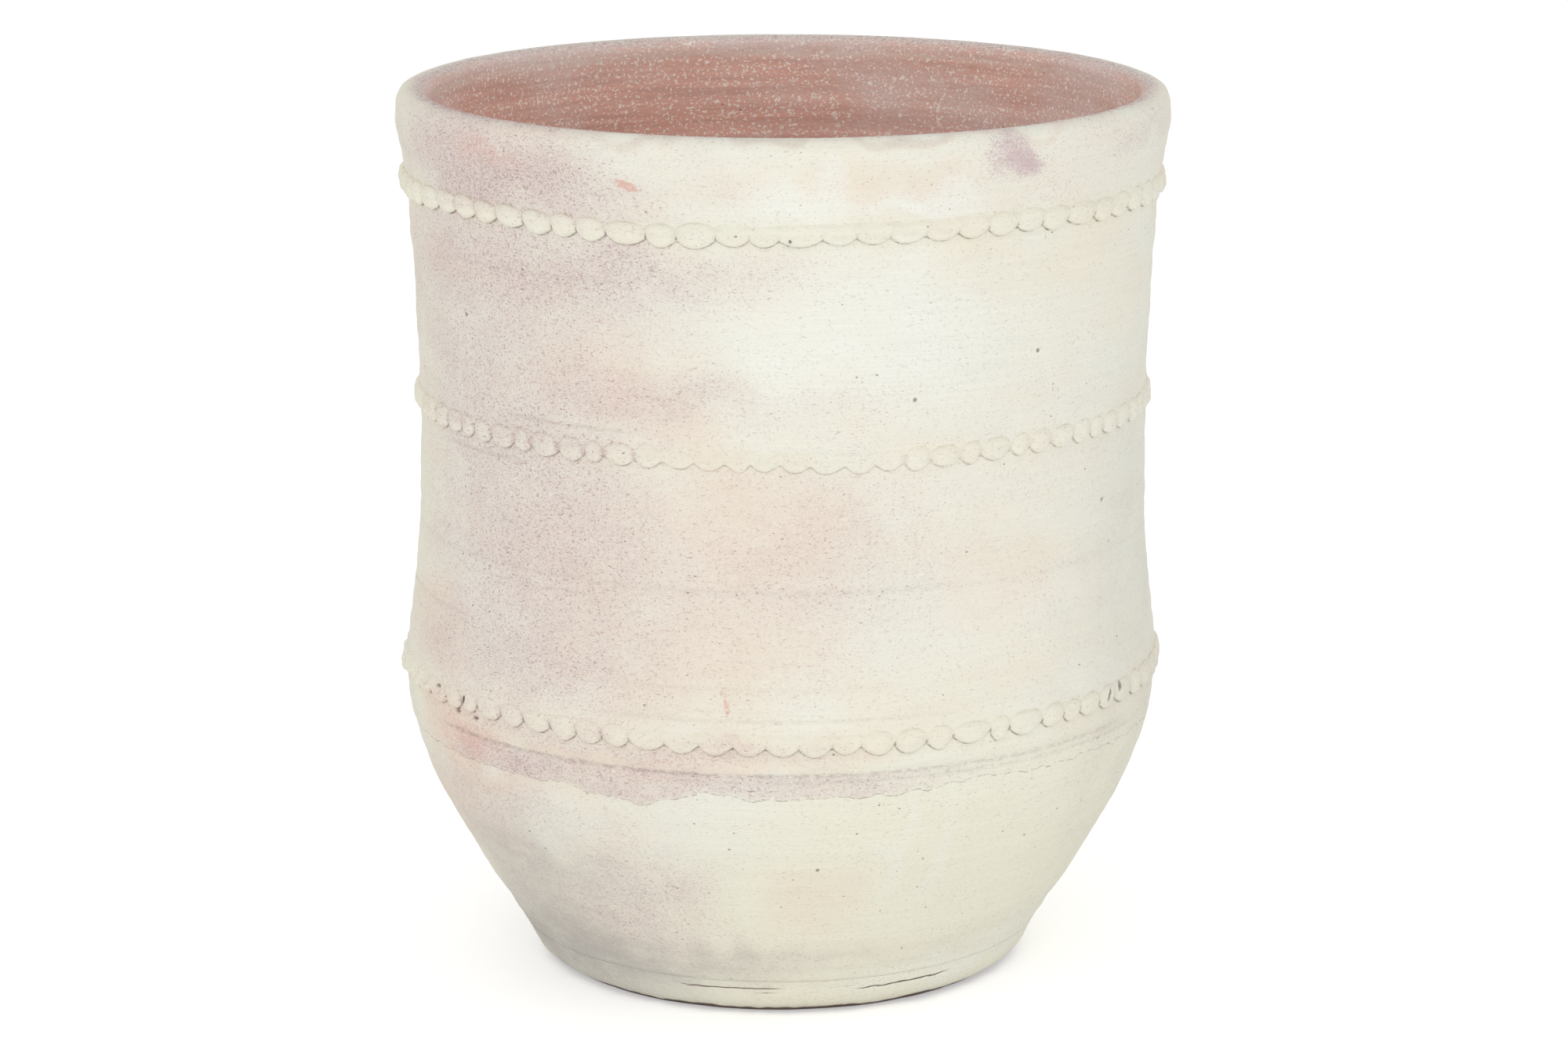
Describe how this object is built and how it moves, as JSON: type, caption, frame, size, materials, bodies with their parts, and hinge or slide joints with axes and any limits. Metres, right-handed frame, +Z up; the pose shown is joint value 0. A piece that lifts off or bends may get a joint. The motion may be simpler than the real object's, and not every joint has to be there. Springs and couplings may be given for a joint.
{
  "type": "terracotta amphora",
  "caption": "Hand-thrown terracotta floor planter with a wide rolled mouth, gently waisted wall with thumb-pressed clay bands, a tapering bowl and a drain hole in its base slab.",
  "frame": {"origin": "centre of the underside of the base slab, where the pot stands on the floor", "axes": "+Z up the axis of the pot and out of its mouth; -Y towards the viewer; +X to the viewer's right"},
  "size_m": [0.52, 0.52, 0.6],
  "materials": {
    "weathered_terracotta": "matt, lime-bloomed cream over lilac and pink clay, red and speckled inside",
    "pressed_band_clay": "matt cream clay slip with dark pores and creases",
    "bare_terracotta": "matt, bare fired clay, limed on the outer edge"
  },
  "bodies": {
    "root": {"base_slab": "bare_terracotta", "bowl_section": "weathered_terracotta", "waist_section": "weathered_terracotta", "shoulder_section": "weathered_terracotta", "rim_section": "weathered_terracotta", "lower_band": "pressed_band_clay", "middle_band": "pressed_band_clay", "upper_band": "pressed_band_clay"}
  },
  "joints": []
}
